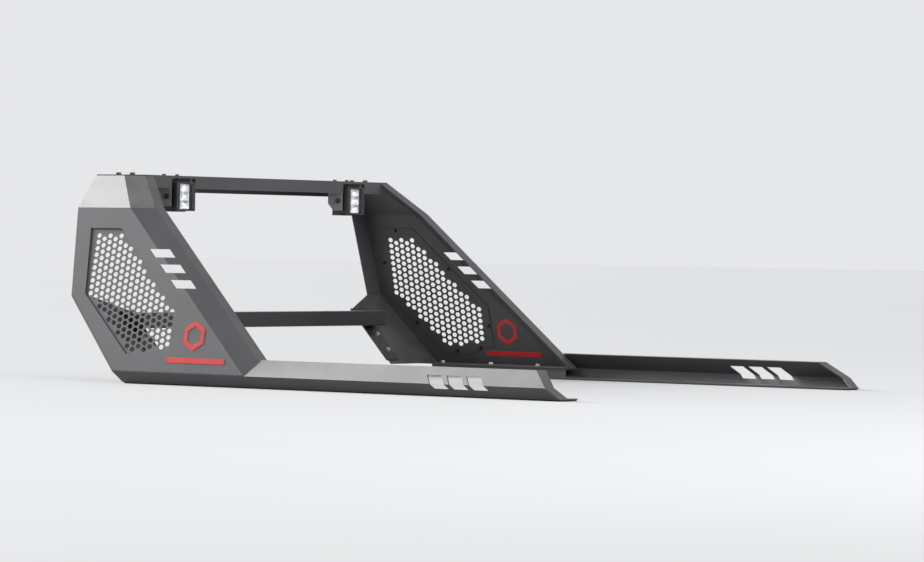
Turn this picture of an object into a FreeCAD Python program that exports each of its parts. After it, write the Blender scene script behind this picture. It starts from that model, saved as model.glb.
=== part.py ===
"""Headache rack for a pickup bed: two folded side panels on full-length bed rails, a hooded top
crossbar with two tilting lamps, and a lower crossbar.

Millimetres. +X is the vehicle's right, +Y its front, +Z up. The origin is on the underside of
the rail gaskets, midway between the two rails and midway along the rack. Right-hand parts are
built and the left-hand ones are their mirror images, except for the lamps, which are alike.
"""

import FreeCAD, Part
import math
import os

Vector = FreeCAD.Vector

# Overall sizes
overall_length = 1680.0
crossbar_top_z = 565.0
fold_half_width = 730.0
sheet = 3.0

# How far a cutting shape runs past what it cuts
overcut = 1.0

# Bed rail
gasket_thickness = 3.0
band_height = 29.0
band_undercut = 14.0
bevel_rise = 43.0
bevel_run = 40.0
rail_end_run = 92.0
rail_end_flange = 40.0
base_flange_width = 76.0
bevel_gap = 2.0
rail_slot_count = 3
rail_slot_pitch = 62.0
rail_slot_length = 46.0
rail_slot_height = 34.0
rail_slot_drop = 12.0
rail_slot_slant = 35.0
rail_slot_setback = 250.0

# Side panel
chamfer_rise = 89.0
face_lean = 92.0
chamfer_run = 72.0
front_rake = 25.0
knee_rise = 199.0
foot_run = 187.0
bend_foot_setback = 671.5
bend_shoulder_setback = 189.5
bend_crest_setback = 103.0
strip_inset = 27.0
strip_depth = 67.0
rim_width = 36.0
front_flange_width = 66.0
gusset_width = 230.0
gusset_corner_drop = 41.0
base_inset = 90.0
tab_width = 86.0
tab_clearance = 12.0

# Slots across the panel's bend
panel_slot_count = 3
panel_slot_length = 62.0
panel_slot_height = 22.0
panel_slot_drop = 111.0
panel_slot_pitch = 41.0

# Perforated insert
window_outline = ((64.0, 380.0), (168.0, 380.0), (404.0, 165.0), (410.0, 72.0), (339.0, 52.0),
                  (254.0, 52.0), (78.0, 209.0))
window_margin = 5.0
insert_border = 20.0
insert_thickness = 2.0
hole_column_pitch = 20.0
hole_row_pitch = 17.4
hole_width = 18.5
hole_height = 12.6
stud_radius = 2.5
stud_hole_radius = 3.0
stud_nut_flats = 8.0
stud_nut_height = 5.0
stud_flange_thickness = 1.0
studs_per_side_length = 260.0

# Support channel and its fasteners
channel_width = 66.0
channel_end_gap = 16.0
rivet_radius = 3.0
rivet_hole_radius = 3.4
rivet_head_radius = 5.5
rivet_head_height = 2.0
rivet_count = 4
rivet_head_room = 0.5

# Mounting holes
bed_hole_radius = 5.5
bed_hole_inset = 52.0
bed_hole_clear_radius = 9.0
front_hole_setbacks = (330.0, 640.0)
rear_hole_setbacks = (190.0, 640.0)

# Top crossbar
rear_lip_height = 35.0
front_lip_height = 43.0
lip_end_gap = 4.0
top_plate_gap = 3.0
front_lip_setback = 74.0
notch_width = 100.0
notch_headroom = 7.0
crossbar_bolt_inset = 46.0
crossbar_bolt_setbacks = (42.0, 92.0)

# Lower crossbar and its legs
tube_size = 43.0
tube_wall = 2.5
tube_bottom_rise = 112.0
tube_half_length = 543.0
leg_width = 56.0
leg_thickness = 4.0
leg_foot_rise = 8.0
leg_top_rise = 156.0
rib_thickness = 5.0
leg_bolt_rises = (36.0, 80.0)

# Bolts: shank radius, clearance hole radius, head flats and heights
m8_radius = 4.0
m8_hole_radius = 4.5
m8_flats = 13.0
m8_head = 5.3
m8_nut = 6.8
m6_radius = 3.0
m6_hole_radius = 3.4
m6_flats = 10.0
m6_head = 4.0
m6_nut = 5.2
washer_thickness = 1.5
washer_share = 0.62
thread_end = 2.0
panel_bolt_setbacks = (262.0, 440.0, 610.0)
panel_bolt_inset = 42.0

# Lamps
lamp_offset = 381.0
lamp_axis_setback = 136.0
lamp_axis_drop = 57.0
lamp_half_width = 39.0
lamp_half_height = 40.0
bezel_front = -32.0
bezel_back = -24.0
bezel_side_width = 13.0
bezel_end_height = 5.0
bezel_corner_radius = 4.0
seal_thickness = 1.0
lens_thickness = 3.0
reflector_depth = 10.0
board_thickness = 2.0
housing_back = 8.0
housing_inset = 2.0
housing_wall = 6.0
insides_clearance = 0.5
fin_root = -1.5
fin_back = 30.0
fin_margin = 5.0
fin_thickness = 2.5
fin_top = 30.0
fin_bottom = -42.0
fins_each_side = 4
cup_radius = 9.5
cup_throat_radius = 4.5
cup_pitch_x = 24.0
cup_pitch_z = 22.0
chip_size = 5.0
chip_height = 1.2
bezel_screw_radius = 1.5
bezel_screw_hole_radius = 1.7
bezel_screw_depth = 12.0
bezel_screw_z = 28.0
bezel_screw_sink = 1.0
bezel_screw_end_gap = 1.0
pivot_running_clearance = 0.05
pivot_depth = 12.0
pivot_head_gap = 0.3
cheek_gap = 4.0
cheek_thickness = 3.0
cheek_front = -14.0
cheek_back = 38.0
cheek_bottom = -28.0
cheek_chamfer = 20.0
bracket_bolt_offset = 28.0
bracket_bolt_back = 26.0
gland_radius = 5.8
gland_drop = 20.0
gland_length = 12.0
gland_bore_radius = 2.5
gland_bore_depth = 8.0
gland_nose_share = 0.7

# Emblem plates
emblem_thickness = 0.8
emblem_radius = 40.0
emblem_stroke = 14.0
emblem_setback = 484.0
emblem_rise = 101.0
plaque_length = 200.0
plaque_height = 14.0
plaque_rise = 28.0
plaque_setback = 500.0

# Sizes that follow from the lamp's
housing_half_width = lamp_half_width - housing_inset
bezel_window_half_width = lamp_half_width - bezel_side_width
bezel_window_half_height = lamp_half_height - bezel_end_height
fin_pitch = (housing_half_width - fin_margin) / fins_each_side

# Places that several parts share
front_y = overall_length / 2
rear_y = -overall_length / 2
base_z = gasket_thickness
fold_z = base_z + band_height
rail_top_z = fold_z + bevel_rise
crest_z = crossbar_top_z - sheet
shoulder_z = crest_z - chamfer_rise
shoulder_rise = shoulder_z - fold_z
lean_slope = face_lean / shoulder_rise
bend_slope = (bend_foot_setback - bend_shoulder_setback) / shoulder_rise
end_slope = rail_end_run / (rail_top_z - base_z)
foot_slope = foot_run / knee_rise
knee_z = fold_z + knee_rise
knee_y = front_y - front_rake
shoulder_x = fold_half_width - face_lean
crest_x = shoulder_x - chamfer_run
gusset_x = fold_half_width - gusset_width


def solid_from(points, thickness, toward):
    """A plate on a flat outline, thickened to the side on which the point 'toward' lies."""
    outline = Part.makePolygon(points + [points[0]])
    face = Part.Face(outline)
    normal = face.normalAt(0, 0)
    if normal.dot(toward - points[0]) < 0:
        normal = normal * -1
    return face.extrude(normal * thickness)


def prism_yz(points, x_from, x_to):
    """A straight prism along X on an outline of (y, z) points."""
    corners = [Vector(x_from, y, z) for y, z in points]
    face = Part.Face(Part.makePolygon(corners + [corners[0]]))
    return face.extrude(Vector(x_to - x_from, 0, 0))


def across_side(points):
    """A prism on (y, z) points that runs right through one side of the rack."""
    return prism_yz(points, gusset_x, 2 * fold_half_width)


def box(x_range, y_range, z_range):
    """A box from its three ranges."""
    corner = Vector(x_range[0], y_range[0], z_range[0])
    return Part.makeBox(x_range[1] - x_range[0], y_range[1] - y_range[0],
                        z_range[1] - z_range[0], corner)


def centred_box(half_x, y_range, half_z):
    """A box centred on the Y axis."""
    return box((-half_x, half_x), y_range, (-half_z, half_z))


def above_level(z):
    """A block that holds everything on the rack above a level."""
    span = overall_length + 2 * fold_half_width
    return box((-span, span), (-span, span), (z, z + span))


def joined(shapes):
    """One clean solid from shapes that touch or overlap."""
    return shapes[0].multiFuse(shapes[1:]).removeSplitter()


def mirrored(shape):
    """The left-hand twin of a right-hand shape."""
    return shape.mirror(Vector(0, 0, 0), Vector(1, 0, 0))


def hexagon_prism(flats, height):
    """A hexagon standing on the XY plane."""
    radius = flats / math.sqrt(3)
    corners = []
    for step in range(6):
        angle = math.radians(60 * step)
        corners.append(Vector(radius * math.cos(angle), radius * math.sin(angle), 0))
    return Part.Face(Part.makePolygon(corners + [corners[0]])).extrude(Vector(0, 0, height))


def bolt(radius, flats, head, nut, grip):
    """A hexagon bolt with washers and nut; its head seats at z = 0 and its shank points to -Z."""
    washer_radius = flats * washer_share
    below = -grip - washer_thickness
    pieces = [
        Part.makeCylinder(washer_radius, washer_thickness),
        hexagon_prism(flats, head).translated(Vector(0, 0, washer_thickness)),
        Part.makeCylinder(radius, grip, Vector(0, 0, -grip)),
        Part.makeCylinder(washer_radius, washer_thickness, Vector(0, 0, below)),
        hexagon_prism(flats, nut).translated(Vector(0, 0, below - nut)),
        Part.makeCylinder(radius, thread_end, Vector(0, 0, below - nut - thread_end)),
    ]
    return joined(pieces)


def m8_bolt(grip):
    """An M8 bolt set through the given grip."""
    return bolt(m8_radius, m8_flats, m8_head, m8_nut, grip)


def m6_bolt(grip):
    """An M6 bolt set through the given grip."""
    return bolt(m6_radius, m6_flats, m6_head, m6_nut, grip)


def turned(shape, direction, place):
    """The shape with its +Z turned to a direction and its origin moved to a place."""
    copy = shape.copy()
    turn = FreeCAD.Rotation(Vector(0, 0, 1), direction)
    copy.Placement = FreeCAD.Placement(place, turn)
    return copy


# ---- side panel -------------------------------------------------------------------------------

def face_x(z):
    """Outer face of the side panel below the shoulder."""
    return fold_half_width - (z - fold_z) * lean_slope


def bend_point(z):
    """Fold between the face and the strip behind it, below the shoulder."""
    y = front_y - bend_foot_setback + (z - fold_z) * bend_slope
    return Vector(face_x(z), y, z)


def rim_point(z):
    """Corner between the strip and the rear-facing rim, below the shoulder."""
    return bend_point(z) - Vector(strip_inset, strip_depth, 0)


def crest_points():
    """The bend and rim corners at the crest; all four strip corners lie in one plane."""
    bend = Vector(crest_x, front_y - bend_crest_setback, crest_z)
    rise = bend - bend_point(shoulder_z)
    share = (rise.y - bend_slope * (crest_z - shoulder_z)) / strip_depth
    back = Vector(strip_inset, strip_depth, 0)
    rim = rim_point(shoulder_z) + rise - back * share
    return bend, rim


def foot_point(z, x):
    """A point of the slanted front edge, at a height and a distance from the centre."""
    return Vector(x, knee_y + (z - knee_z) * foot_slope, z)


def side_panel():
    """The folded panel: face, strip, rim, chamfer, front flange, gusset, base and top tab."""
    inside = Vector(0, front_y - bend_shoulder_setback, (fold_z + shoulder_z) / 2)
    inward = Vector(-1, 0, 0)
    front_top = Vector(shoulder_x, front_y, shoulder_z)
    front_crest = Vector(crest_x, front_y, crest_z)
    knee = Vector(face_x(knee_z), knee_y, knee_z)
    foot = foot_point(fold_z, fold_half_width)
    bend_foot = bend_point(fold_z)
    bend_top = bend_point(shoulder_z)
    rim_foot = rim_point(fold_z)
    rim_top = rim_point(shoulder_z)
    bend_crest, rim_crest = crest_points()
    rim_in = inward * rim_width
    flange_in = inward * front_flange_width
    corner_z = knee_z - gusset_corner_drop
    base_x = fold_half_width - base_inset
    base_shift = Vector(0, bend_slope * sheet, 0)
    tab_x = crest_x - tab_width
    tab_front = front_y - tab_clearance
    plates = [
        solid_from([front_top, knee, foot, bend_foot, bend_top], sheet, inside),
        solid_from([bend_foot, bend_top, rim_top, rim_foot], sheet, inside),
        solid_from([front_top, bend_top, bend_crest, front_crest], sheet, inside),
        solid_from([bend_top, rim_top, rim_crest, bend_crest], sheet, inside),
        solid_from([rim_foot, rim_top, rim_crest, rim_crest + rim_in, rim_top + rim_in,
                    rim_foot + rim_in], sheet, Vector(0, front_y, fold_z)),
        solid_from([front_top, front_crest, front_crest + flange_in, front_top + flange_in],
                   sheet, inside),
        solid_from([front_top, knee, knee + flange_in, front_top + flange_in], sheet, inside),
        solid_from([knee, foot, foot_point(fold_z, gusset_x), foot_point(corner_z, gusset_x),
                    knee + flange_in], sheet, inside),
        solid_from([foot, bend_foot + base_shift, rim_foot + base_shift,
                    Vector(base_x, rim_foot.y + base_shift.y, fold_z),
                    Vector(base_x, foot.y, fold_z)], sheet, inside),
        solid_from([Vector(crest_x, tab_front, crest_z), bend_crest,
                    Vector(tab_x, bend_crest.y, crest_z), Vector(tab_x, tab_front, crest_z)],
                   sheet, inside),
    ]
    panel = joined(plates).common(above_level(fold_z))
    cuts = [across_side(offset_outline(window_points(), window_margin))]
    cuts += [across_side(points) for points in panel_slots()]
    for y in panel_bolt_places():
        cuts.append(Part.makeCylinder(m8_hole_radius, 3 * sheet, Vector(panel_bolt_x(), y,
                                                                       fold_z - sheet)))
    for y in bed_hole_places():
        cuts.append(Part.makeCylinder(bed_hole_clear_radius, 3 * sheet, Vector(bed_hole_x(), y,
                                                                              fold_z - sheet)))
    for place in crossbar_bolt_places():
        cuts.append(Part.makeCylinder(m8_hole_radius, 3 * sheet, place - Vector(0, 0, 2 * sheet)))
    for place in leg_bolt_places():
        cuts.append(Part.makeCylinder(m8_hole_radius, 4 * sheet, place - foot_normal() * sheet * 3,
                                      foot_normal()))
    return panel.cut(Part.makeCompound(cuts))


def panel_slots():
    """Outlines of the slots that straddle the bend, each below and behind the one before."""
    outlines = []
    for number in range(panel_slot_count):
        top = shoulder_z - panel_slot_drop - number * panel_slot_pitch
        bottom = top - panel_slot_height
        half = panel_slot_length / 2
        centre_top = bend_point(top).y
        centre_bottom = bend_point(bottom).y
        outlines.append([(centre_top + half, top), (centre_top - half, top),
                         (centre_bottom - half, bottom), (centre_bottom + half, bottom)])
    return outlines


# ---- perforated insert ------------------------------------------------------------------------

def window_points():
    """The perforated field's outline as (y, z) points."""
    return [(front_y - setback, fold_z + rise) for setback, rise in window_outline]


def offset_outline(points, distance):
    """A convex outline moved outwards by a distance."""
    centre_y = sum(point[0] for point in points) / len(points)
    centre_z = sum(point[1] for point in points) / len(points)
    lines = []
    for (y1, z1), (y2, z2) in zip(points, points[1:] + points[:1]):
        length = math.hypot(y2 - y1, z2 - z1)
        normal = ((z2 - z1) / length, (y1 - y2) / length)
        reach = normal[0] * y1 + normal[1] * z1
        if normal[0] * centre_y + normal[1] * centre_z > reach:
            normal = (-normal[0], -normal[1])
            reach = -reach
        lines.append((normal, reach + distance))
    moved = []
    for ((a, b), c), ((d, e), f) in zip(lines[-1:] + lines[:-1], lines):
        cross = a * e - b * d
        moved.append(((c * e - b * f) / cross, (a * f - c * d) / cross))
    return moved


def depth_inside(points, y, z):
    """How far a place lies inside a convex outline."""
    depths = []
    for (y1, z1), (y2, z2) in zip(points, points[1:] + points[:1]):
        length = math.hypot(y2 - y1, z2 - z1)
        depths.append(abs((y2 - y1) * (z - z1) - (z2 - z1) * (y - y1)) / length)
    signs = [(y2 - y1) * (z - z1) - (z2 - z1) * (y - y1) > 0
             for (y1, z1), (y2, z2) in zip(points, points[1:] + points[:1])]
    return min(depths) if len(set(signs)) == 1 else -1.0


def face_normal():
    """Outward normal of the panel's face."""
    return Vector(1, 0, lean_slope).normalize()


def on_face(y, z, depth):
    """A point at a depth below the panel's outer face, straight in from its (y, z) place."""
    return Vector(face_x(z), y, z) - face_normal() * depth


def face_plate(points, near_depth, far_depth):
    """A plate parallel to the panel's face, between two depths."""
    corners = [on_face(y, z, near_depth) for y, z in points]
    face = Part.Face(Part.makePolygon(corners + [corners[0]]))
    return face.extrude(face_normal() * (near_depth - far_depth))


def perforations():
    """Outlines of the six-sided holes that fit whole in the window, in staggered columns."""
    outline = window_points()
    ys = [point[0] for point in outline]
    zs = [point[1] for point in outline]
    columns = int((max(ys) - min(ys)) / hole_column_pitch) + 2
    rows = int((max(zs) - min(zs)) / hole_row_pitch) + 2
    half = hole_width / 2
    high = hole_height / 2
    found = []
    for column in range(columns):
        stagger = hole_row_pitch / 2 if column % 2 else 0.0
        for row in range(rows):
            y = min(ys) + column * hole_column_pitch
            z = min(zs) + row * hole_row_pitch + stagger
            if depth_inside(outline, y, z) < high:
                continue
            found.append([(y - half, z), (y - half / 2, z + high), (y + half / 2, z + high),
                          (y + half, z), (y + half / 2, z - high), (y - half / 2, z - high)])
    return found


def stud_places():
    """(y, z) places of the weld studs, spread along the middle of the insert's border."""
    middle = offset_outline(window_points(), window_margin + (insert_border - window_margin) / 2)
    places = []
    for (y1, z1), (y2, z2) in zip(middle, middle[1:] + middle[:1]):
        length = math.hypot(y2 - y1, z2 - z1)
        count = max(1, round(length / studs_per_side_length))
        for number in range(count):
            share = (number + 0.5) / count
            places.append((y1 + (y2 - y1) * share, z1 + (z2 - z1) * share))
    return places


def mesh_insert():
    """The perforated plate behind the panel's window."""
    plate = face_plate(offset_outline(window_points(), insert_border), sheet,
                       sheet + insert_thickness)
    holes = [face_plate(points, sheet - overcut, sheet + insert_thickness + overcut)
             for points in perforations()]
    for y, z in stud_places():
        holes.append(Part.makeCylinder(stud_hole_radius, insert_thickness + 2 * overcut,
                                       on_face(y, z, sheet - overcut), face_normal() * -1))
    return plate.cut(Part.makeCompound(holes))


def mesh_fasteners():
    """Weld studs on the panel's inner face, each with its flange nut over the insert."""
    fasteners = []
    for y, z in stud_places():
        inward = face_normal() * -1
        seat = on_face(y, z, sheet + insert_thickness)
        stud = Part.makeCylinder(stud_radius, insert_thickness + stud_nut_height + thread_end,
                                 on_face(y, z, sheet), inward)
        flange = Part.makeCylinder(stud_nut_flats * washer_share, stud_flange_thickness, seat,
                                   inward)
        nut = turned(hexagon_prism(stud_nut_flats, stud_nut_height), inward, seat)
        fasteners.append(joined([stud, flange, nut]))
    return Part.makeCompound(fasteners)


# ---- bed rail, channel and gasket -------------------------------------------------------------

def end_point(z, x):
    """A point of the rail's slanted rear end."""
    return Vector(x, rear_y + (z - base_z) * end_slope, z)


def bed_rail():
    """The folded rail: base flange, undercut band, bevel behind the panel and end flange."""
    inside = Vector(0, 0, fold_z)
    base_x = fold_half_width - band_undercut
    inner_x = base_x - base_flange_width
    top_x = fold_half_width - bevel_run
    end_in = Vector(-rail_end_flange, 0, 0)
    bottom_rear = end_point(base_z, base_x)
    fold_rear = end_point(fold_z, fold_half_width)
    top_rear = end_point(rail_top_z, top_x)
    bottom_front = foot_point(base_z, base_x)
    fold_front = foot_point(fold_z, fold_half_width)
    rise = strip_inset / (bevel_run / bevel_rise - lean_slope)
    meet = rim_point(fold_z + rise)
    bevel_start = bend_point(fold_z) - Vector(0, bevel_gap, 0)
    bevel_meet = Vector(meet.x, meet.y - bevel_gap, meet.z)
    bevel_top = Vector(top_x, bevel_meet.y, rail_top_z)
    flange_z = Vector(0, 0, 1)
    plates = [
        solid_from([Vector(inner_x, rear_y, base_z), bottom_rear, bottom_front,
                    Vector(inner_x, bottom_front.y, base_z)], sheet, inside),
        solid_from([bottom_rear, bottom_front, fold_front, fold_rear], sheet,
                   inside).cut(above_level(fold_z)),
        solid_from([fold_rear, bevel_start, bevel_meet, bevel_top, top_rear], sheet,
                   inside - flange_z * fold_z),
        solid_from([bottom_rear, fold_rear, top_rear, top_rear + end_in, fold_rear + end_in,
                    bottom_rear + end_in], sheet, inside),
    ]
    rail = joined(plates).common(above_level(base_z))
    cuts = [across_side(points) for points in rail_slots()]
    cuts.append(strip_room())
    cuts += [Part.makeCylinder(bed_hole_radius, 3 * sheet, Vector(bed_hole_x(), y, 0))
             for y in bed_hole_places()]
    cuts += [Part.makeCylinder(rivet_hole_radius, 3 * sheet, Vector(rivet_x(), y, 0))
             for y in rivet_places()]
    return rail.cut(Part.makeCompound(cuts))


def strip_room():
    """The space of the panel's strip, from which the rail's bevel is mitred away."""
    back = Vector(0, -bevel_gap, 0)
    past_rim = Vector(strip_inset, strip_depth, 0) * (sheet / strip_depth)
    corners = [bend_point(fold_z), bend_point(rail_top_z), rim_point(rail_top_z) - past_rim,
               rim_point(fold_z) - past_rim]
    inside = Vector(0, front_y, fold_z)
    return solid_from([corner + back for corner in corners], strip_depth, inside)


def rail_slots():
    """Outlines of the slanted slots that straddle the rail's fold near its rear end."""
    top = fold_z + rail_slot_height - rail_slot_drop
    bottom = fold_z - rail_slot_drop
    outlines = []
    for number in range(rail_slot_count):
        y = rear_y + rail_slot_setback + number * rail_slot_pitch
        outlines.append([(y, top), (y + rail_slot_length, top),
                         (y + rail_slot_length - rail_slot_slant, bottom),
                         (y - rail_slot_slant, bottom)])
    return outlines


def bed_hole_x():
    """Distance of the mounting holes from the centre line."""
    return fold_half_width - band_undercut - bed_hole_inset


def bed_hole_places():
    """Y places of the mounting holes on one rail."""
    front = [front_y - setback for setback in front_hole_setbacks]
    rear = [rear_y + setback for setback in rear_hole_setbacks]
    return front + rear


def channel_span():
    """Where the support channel starts and ends along the rail."""
    return rim_point(fold_z).y, foot_point(base_z, 0).y - channel_end_gap


def channel_x():
    """Inner and outer edge of the support channel."""
    outer = fold_half_width - band_undercut - 2 * sheet
    return outer - channel_width, outer


def rivet_x():
    """Distance of the channel's rivets from the centre line."""
    return channel_x()[1] - channel_width / 4


def rivet_places():
    """Y places of the rivets between channel and rail, kept clear of the bolts above them."""
    start, end = channel_span()
    step = (end - start) / rivet_count
    return [start + step * (number + 0.5) for number in range(rivet_count)]


def support_channel():
    """The channel between the rail's base flange and the panel's base."""
    start, end = channel_span()
    inner, outer = channel_x()
    low = base_z + sheet
    plates = [
        box((inner, outer), (start, end), (low, low + sheet)),
        box((inner, outer), (start, end), (fold_z - sheet, fold_z)),
        box((inner, inner + sheet), (start, end), (low, fold_z)),
    ]
    cuts = [Part.makeCylinder(m8_hole_radius, 3 * sheet, Vector(panel_bolt_x(), y,
                                                               fold_z - 2 * sheet))
            for y in panel_bolt_places()]
    cuts += [Part.makeCylinder(rivet_hole_radius, 3 * sheet, Vector(rivet_x(), y, low - sheet))
             for y in rivet_places()]
    cuts += [Part.makeCylinder(bed_hole_clear_radius, fold_z, Vector(bed_hole_x(), y, low - overcut))
             for y in bed_hole_places()]
    return joined(plates).cut(Part.makeCompound(cuts))


def channel_rivets():
    """Rivets that hold the channel down on the rail's base flange."""
    low = base_z
    high = base_z + 2 * sheet
    rivets = []
    for y in rivet_places():
        place = Vector(rivet_x(), y, low)
        shank = Part.makeCylinder(rivet_radius, high - low, place)
        bottom = Part.makeCylinder(rivet_head_radius, rivet_head_height,
                                   place - Vector(0, 0, rivet_head_height))
        top = Part.makeCylinder(rivet_head_radius, rivet_head_height,
                                place + Vector(0, 0, high - low))
        rivets.append(joined([shank, bottom, top]))
    return Part.makeCompound(rivets)


def gasket():
    """The rubber strip under the rail's base flange."""
    base_x = fold_half_width - band_undercut
    strip = box((base_x - base_flange_width, base_x - sheet), (rear_y + sheet,
                foot_point(base_z, 0).y - sheet), (0, gasket_thickness))
    cuts = [Part.makeCylinder(bed_hole_radius, gasket_thickness, Vector(bed_hole_x(), y, 0))
            for y in bed_hole_places()]
    cuts += [Part.makeCylinder(rivet_head_radius + rivet_head_room, gasket_thickness,
                               Vector(rivet_x(), y, 0)) for y in rivet_places()]
    return strip.cut(Part.makeCompound(cuts))


def panel_bolt_x():
    """Distance of the panel's base bolts from the centre line."""
    return fold_half_width - panel_bolt_inset


def panel_bolt_places():
    """Y places of the bolts through the panel's base."""
    return [front_y - setback for setback in panel_bolt_setbacks]


def panel_bolts():
    """Bolts through the panel's base flange and the support channel."""
    bolts = []
    for y in panel_bolt_places():
        place = Vector(panel_bolt_x(), y, fold_z + sheet)
        bolts.append(m8_bolt(2 * sheet).translated(place))
    return Part.makeCompound(bolts)


# ---- top crossbar -----------------------------------------------------------------------------

def crossbar_bolt_places():
    """Places on the crossbar's top where its right-hand bolts seat."""
    x = crest_x - crossbar_bolt_inset
    return [Vector(x, front_y - setback, crossbar_top_z) for setback in crossbar_bolt_setbacks]


def lamp_centres():
    """Pivot centres of the left and right lamps."""
    y = front_y - lamp_axis_setback
    z = crossbar_top_z - lamp_axis_drop
    return Vector(-lamp_offset, y, z), Vector(lamp_offset, y, z)


def bracket_bolt_places():
    """Places on the crossbar's top where the lamp brackets' bolts seat."""
    places = []
    for centre in lamp_centres():
        for side in (-bracket_bolt_offset, bracket_bolt_offset):
            places.append(Vector(centre.x + side, centre.y + bracket_bolt_back, crossbar_top_z))
    return places


def top_crossbar():
    """The hood across the top: a plate with a rear and a front lip, notched for the lamps."""
    bend_crest, rim_crest = crest_points()
    gap = top_plate_gap
    right = [Vector(crest_x - gap, front_y, crest_z), Vector(crest_x - gap, bend_crest.y, crest_z),
             Vector(rim_crest.x - gap, rim_crest.y, crest_z)]
    left = [Vector(-point.x, point.y, point.z) for point in reversed(right)]
    above = Vector(0, 0, 2 * crossbar_top_z)
    top = solid_from(right + left, sheet, above)
    low = crossbar_top_z - rear_lip_height
    chamfer_shift = (rim_crest.x - rim_point(shoulder_z).x) / (crest_z - shoulder_z)
    reach_top = rim_crest.x - rim_width - lip_end_gap
    reach_low = reach_top - chamfer_shift * (crest_z - low)
    ends = [(reach_top, crest_z), (reach_low, low), (-reach_low, low), (-reach_top, crest_z)]
    rear = solid_from([Vector(x, rim_crest.y, z) for x, z in ends], sheet,
                      Vector(0, front_y, crest_z))
    front_half = crest_x - front_lip_setback
    front = box((-front_half, front_half), (front_y - sheet, front_y),
                (crossbar_top_z - front_lip_height, crossbar_top_z))
    hood = joined([top, rear, front])
    cuts = []
    for centre in lamp_centres():
        half = notch_width / 2
        cuts.append(box((centre.x - half, centre.x + half),
                        (rim_crest.y - overcut, rim_crest.y + sheet + overcut),
                        (low - overcut, crossbar_top_z - notch_headroom)))
    for place in crossbar_bolt_places():
        for x in (-place.x, place.x):
            cuts.append(Part.makeCylinder(m8_hole_radius, 3 * sheet,
                                          Vector(x, place.y, crest_z - sheet)))
    for place in bracket_bolt_places():
        cuts.append(Part.makeCylinder(m6_hole_radius, 3 * sheet, place - Vector(0, 0, 2 * sheet)))
    return hood.cut(Part.makeCompound(cuts))


def crossbar_bolts():
    """Bolts that join the crossbar to both panels' top tabs."""
    right = Part.makeCompound([m8_bolt(2 * sheet).translated(place)
                               for place in crossbar_bolt_places()])
    return Part.makeCompound(right.Solids + mirrored(right).Solids)


# ---- lower crossbar ---------------------------------------------------------------------------

def foot_normal():
    """Normal of the panel's slanted gusset, pointing up and back into the bed."""
    return Vector(0, -1, foot_slope).normalize()


def gusset_point(z, x, depth):
    """A point at a depth above the gusset's outer side, measured along its normal."""
    return foot_point(z, x) + foot_normal() * depth


def tube_front():
    """Front face of the lower tube, whose lower edge rests on the legs."""
    bottom = fold_z + tube_bottom_rise
    top_of_leg = sheet + leg_thickness
    normal = foot_normal()
    return knee_y + (top_of_leg - normal.z * (bottom - knee_z)) / normal.y


def lower_crossbar():
    """A square tube with welded end plates."""
    low = fold_z + tube_bottom_rise
    front = tube_front()
    outer = box((-tube_half_length, tube_half_length), (front - tube_size, front),
                (low, low + tube_size))
    hollow = box((-tube_half_length + sheet, tube_half_length - sheet),
                 (front - tube_size + tube_wall, front - tube_wall),
                 (low + tube_wall, low + tube_size - tube_wall))
    return outer.cut(hollow)


def leg_bolt_places():
    """Places on the right leg where its bolts seat."""
    x = (tube_half_length + gusset_x) / 2
    return [gusset_point(fold_z + rise, x, sheet + leg_thickness) for rise in leg_bolt_rises]


def crossbar_leg():
    """The leg plate on the gusset, with two ribs that carry the tube."""
    inner = tube_half_length - leg_width
    outer = tube_half_length
    foot = fold_z + leg_foot_rise
    head = fold_z + leg_top_rise
    corners = [gusset_point(foot, inner, sheet), gusset_point(foot, outer, sheet),
               gusset_point(head, outer, sheet), gusset_point(head, inner, sheet)]
    plate = solid_from(corners, leg_thickness, corners[0] + foot_normal())
    front = tube_front()
    low = fold_z + tube_bottom_rise
    high = low + tube_size
    rest_y = gusset_point(high, 0, 0).y + (sheet + leg_thickness) / foot_normal().y
    depth = leg_thickness / 2
    triangle = [(front, low), (front, high), (rest_y + depth, high), (front + depth, low)]
    ribs = [prism_yz(triangle, inner, inner + rib_thickness),
            prism_yz(triangle, outer - rib_thickness, outer)]
    holes = [Part.makeCylinder(m8_hole_radius, 3 * leg_thickness,
                               place - foot_normal() * leg_thickness * 2, foot_normal())
             for place in leg_bolt_places()]
    return joined([plate] + ribs).cut(Part.makeCompound(holes))


def leg_bolts():
    """Bolts that hold a leg on the panel's gusset."""
    bolts = [turned(m8_bolt(sheet + leg_thickness), foot_normal(), place)
             for place in leg_bolt_places()]
    return Part.makeCompound(bolts)


# ---- lamps, drawn about the pivot centre ------------------------------------------------------

def bezel_screw_places():
    """(x, z) places of the bezel's screws."""
    x = housing_half_width - housing_wall / 2
    return [(side * x, up * bezel_screw_z) for side in (-1, 1) for up in (-1, 1)]


def screw_cylinders(radius, y_from, y_to):
    """Cylinders along Y at every bezel screw."""
    return [Part.makeCylinder(radius, y_to - y_from, Vector(x, y_from, z), Vector(0, 1, 0))
            for x, z in bezel_screw_places()]


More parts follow.
